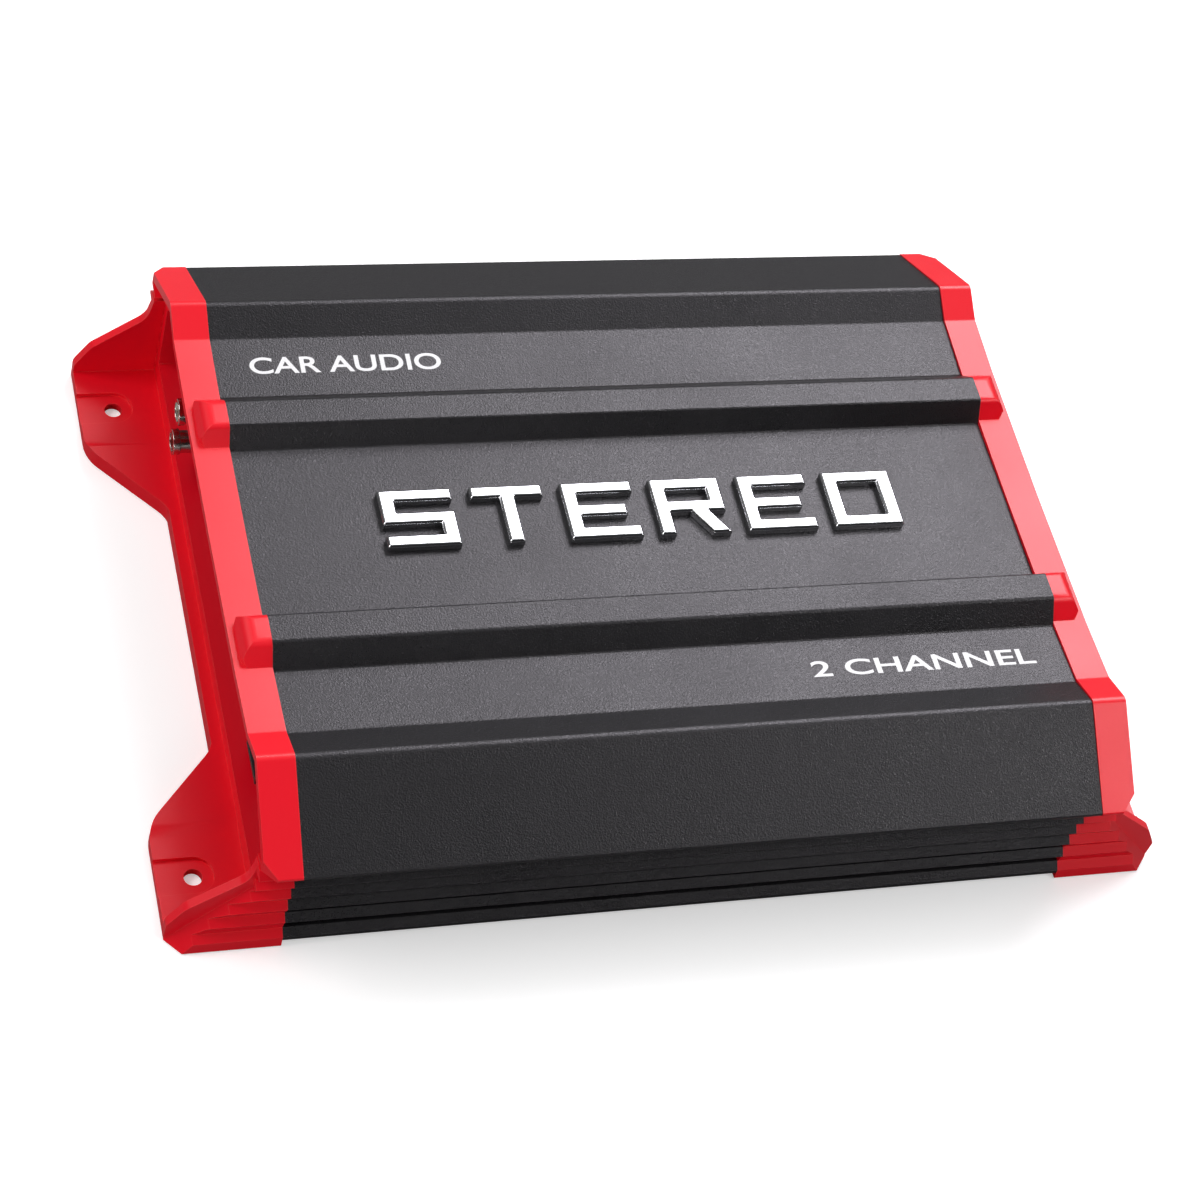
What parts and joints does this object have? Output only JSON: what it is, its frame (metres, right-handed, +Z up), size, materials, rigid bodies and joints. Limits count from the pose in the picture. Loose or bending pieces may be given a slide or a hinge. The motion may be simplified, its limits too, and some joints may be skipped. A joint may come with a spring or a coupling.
{
  "type": "two-channel car audio amplifier",
  "caption": "Car amplifier: finned charcoal heatsink body with raised ribs and chrome letters, glossy red end caps with mounting ears, signal jacks, knobs, terminals and fuses.",
  "frame": {"origin": "middle of the underside, at the level of the mounting ears' feet", "axes": "+X along the heatsink towards the power end, +Y across it, +Z up out of the ribbed top"},
  "size_m": [0.341, 0.2454, 0.0642],
  "materials": {
    "charcoal_powder_coat": "fine textured satin",
    "red_gloss_plastic": "gloss",
    "black_coated_steel": "satin",
    "black_screw": "satin",
    "chrome_letters": "polished",
    "black_plastic": "fine grain",
    "white_plastic": "smooth",
    "nickel_plate": "bright nickel",
    "brass_contact": "drawn",
    "indicator_lens": "tinted clear",
    "green_board": "solder mask",
    "zinc_steel": "zinc plated",
    "fuse_plastic": "translucent green",
    "fuse_blade": "tinned",
    "ferrite": "matte",
    "copper_wire": "enamelled copper",
    "capacitor_sleeve": "shrunk sleeve",
    "black_epoxy": "moulded",
    "tinned_leg": "tinned",
    "grey_insulator": "matte",
    "bare_aluminium": "mill"
  },
  "bodies": {
    "chassis": {"badge_letters": "chrome_letters", "board_chips": "black_epoxy", "board_standoffs": "zinc_steel", "bottom_plate": "black_coated_steel", "cap_screws": "black_screw", "case_screws": "black_screw", "control_board": "green_board", "control_board_header": "black_plastic", "copper_windings": "copper_wire", "end_cap_left": "red_gloss_plastic", "end_cap_right": "red_gloss_plastic", "end_panel_left": "black_coated_steel", "end_panel_right": "black_coated_steel", "ferrite_cores": "ferrite", "filter_switch_body": "black_plastic", "fuse_clips": "brass_contact", "fuse_holder": "black_plastic", "heatsink_extrusion": "charcoal_powder_coat", "indicator_lenses": "indicator_lens", "inner_screws": "zinc_steel", "input_capacitors": "capacitor_sleeve", "input_contacts": "brass_contact", "insulator_strips": "grey_insulator", "main_board": "green_board", "potentiometers": "black_plastic", "power_terminal_block": "black_plastic", "power_transistors": "black_epoxy", "rail_capacitors": "capacitor_sleeve", "signal_jack_block": "black_plastic", "signal_jack_insulators": "white_plastic", "signal_jack_shells": "nickel_plate", "small_capacitors": "capacitor_sleeve", "speaker_level_socket": "white_plastic", "speaker_terminal_block": "black_plastic", "terminal_bars": "nickel_plate", "transistor_clamp_bars": "bare_aluminium", "transistor_legs": "tinned_leg"},
    "gain_knob": {"gain_knob": "black_plastic"},
    "low_pass_knob": {"low_pass_knob": "black_plastic"},
    "high_pass_knob": {"high_pass_knob": "black_plastic"},
    "bass_knob": {"bass_knob": "black_plastic"},
    "filter_switch": {"filter_switch_slider": "black_plastic"},
    "fuse_1": {"fuse_body_1": "fuse_plastic", "fuse_blades_1": "fuse_blade"},
    "fuse_2": {"fuse_body_2": "fuse_plastic", "fuse_blades_2": "fuse_blade"},
    "power_clamp_screw_1": {"power_clamp_screw_1": "zinc_steel"},
    "power_clamp_1": {"power_clamp_1": "nickel_plate"},
    "power_clamp_screw_2": {"power_clamp_screw_2": "zinc_steel"},
    "power_clamp_2": {"power_clamp_2": "nickel_plate"},
    "power_clamp_screw_3": {"power_clamp_screw_3": "zinc_steel"},
    "power_clamp_3": {"power_clamp_3": "nickel_plate"},
    "speaker_clamp_screw_1": {"speaker_clamp_screw_1": "zinc_steel"},
    "speaker_clamp_1": {"speaker_clamp_1": "nickel_plate"},
    "speaker_clamp_screw_2": {"speaker_clamp_screw_2": "zinc_steel"},
    "speaker_clamp_2": {"speaker_clamp_2": "nickel_plate"},
    "speaker_clamp_screw_3": {"speaker_clamp_screw_3": "zinc_steel"},
    "speaker_clamp_3": {"speaker_clamp_3": "nickel_plate"},
    "speaker_clamp_screw_4": {"speaker_clamp_screw_4": "zinc_steel"},
    "speaker_clamp_4": {"speaker_clamp_4": "nickel_plate"}
  },
  "joints": [
    {"name": "gain_turn", "type": "hinge", "parent": "chassis", "child": "gain_knob", "pos_m": [-0.139, 0.036, 0.042], "axis": [-1, 0, 0], "range_deg": [-145, 145]},
    {"name": "low_pass_turn", "type": "hinge", "parent": "chassis", "child": "low_pass_knob", "pos_m": [-0.139, 0.02, 0.042], "axis": [-1, 0, 0], "range_deg": [-145, 145]},
    {"name": "high_pass_turn", "type": "hinge", "parent": "chassis", "child": "high_pass_knob", "pos_m": [-0.139, 0.004, 0.042], "axis": [-1, 0, 0], "range_deg": [-145, 145]},
    {"name": "bass_turn", "type": "hinge", "parent": "chassis", "child": "bass_knob", "pos_m": [-0.139, -0.012, 0.042], "axis": [-1, 0, 0], "range_deg": [-145, 145]},
    {"name": "filter_switch_slide", "type": "slide", "parent": "chassis", "child": "filter_switch", "axis": [0, 1, 0], "range_m": [-0.0022, 0.0022]},
    {"name": "fuse_1_pull", "type": "slide", "parent": "chassis", "child": "fuse_1", "axis": [1, 0, 0], "range_m": [0, 0.022]},
    {"name": "fuse_2_pull", "type": "slide", "parent": "chassis", "child": "fuse_2", "axis": [1, 0, 0], "range_m": [0, 0.022]},
    {"name": "power_clamp_screw_1_turn", "type": "hinge", "parent": "chassis", "child": "power_clamp_screw_1", "pos_m": [0.1486, -0.072, 0.0425], "axis": [0, 0, -1], "range_deg": [0, 1620.5]},
    {"name": "power_clamp_1_rise", "type": "slide", "parent": "chassis", "child": "power_clamp_1", "axis": [0, 0, 1], "range_m": [0, 0.0045]},
    {"name": "power_clamp_screw_2_turn", "type": "hinge", "parent": "chassis", "child": "power_clamp_screw_2", "pos_m": [0.1486, -0.055, 0.0425], "axis": [0, 0, -1], "range_deg": [0, 1620.5]},
    {"name": "power_clamp_2_rise", "type": "slide", "parent": "chassis", "child": "power_clamp_2", "axis": [0, 0, 1], "range_m": [0, 0.0045]},
    {"name": "power_clamp_screw_3_turn", "type": "hinge", "parent": "chassis", "child": "power_clamp_screw_3", "pos_m": [0.1486, -0.038, 0.0425], "axis": [0, 0, -1], "range_deg": [0, 1620.5]},
    {"name": "power_clamp_3_rise", "type": "slide", "parent": "chassis", "child": "power_clamp_3", "axis": [0, 0, 1], "range_m": [0, 0.0045]},
    {"name": "speaker_clamp_screw_1_turn", "type": "hinge", "parent": "chassis", "child": "speaker_clamp_screw_1", "pos_m": [0.1486, 0.028, 0.0425], "axis": [0, 0, -1], "range_deg": [0, 1620.5]},
    {"name": "speaker_clamp_1_rise", "type": "slide", "parent": "chassis", "child": "speaker_clamp_1", "axis": [0, 0, 1], "range_m": [0, 0.0045]},
    {"name": "speaker_clamp_screw_2_turn", "type": "hinge", "parent": "chassis", "child": "speaker_clamp_screw_2", "pos_m": [0.1486, 0.042, 0.0425], "axis": [0, 0, -1], "range_deg": [0, 1620.5]},
    {"name": "speaker_clamp_2_rise", "type": "slide", "parent": "chassis", "child": "speaker_clamp_2", "axis": [0, 0, 1], "range_m": [0, 0.0045]},
    {"name": "speaker_clamp_screw_3_turn", "type": "hinge", "parent": "chassis", "child": "speaker_clamp_screw_3", "pos_m": [0.1486, 0.056, 0.0425], "axis": [0, 0, -1], "range_deg": [0, 1620.5]},
    {"name": "speaker_clamp_3_rise", "type": "slide", "parent": "chassis", "child": "speaker_clamp_3", "axis": [0, 0, 1], "range_m": [0, 0.0045]},
    {"name": "speaker_clamp_screw_4_turn", "type": "hinge", "parent": "chassis", "child": "speaker_clamp_screw_4", "pos_m": [0.1486, 0.07, 0.0425], "axis": [0, 0, -1], "range_deg": [0, 1620.5]},
    {"name": "speaker_clamp_4_rise", "type": "slide", "parent": "chassis", "child": "speaker_clamp_4", "axis": [0, 0, 1], "range_m": [0, 0.0045]}
  ],
  "couplings": [
    {"joint": "power_clamp_screw_1_turn", "follows": "power_clamp_1_rise", "rad_per_m": 6283.2},
    {"joint": "power_clamp_screw_2_turn", "follows": "power_clamp_2_rise", "rad_per_m": 6283.2},
    {"joint": "power_clamp_screw_3_turn", "follows": "power_clamp_3_rise", "rad_per_m": 6283.2},
    {"joint": "speaker_clamp_screw_1_turn", "follows": "speaker_clamp_1_rise", "rad_per_m": 6283.2},
    {"joint": "speaker_clamp_screw_2_turn", "follows": "speaker_clamp_2_rise", "rad_per_m": 6283.2},
    {"joint": "speaker_clamp_screw_3_turn", "follows": "speaker_clamp_3_rise", "rad_per_m": 6283.2},
    {"joint": "speaker_clamp_screw_4_turn", "follows": "speaker_clamp_4_rise", "rad_per_m": 6283.2}
  ]
}
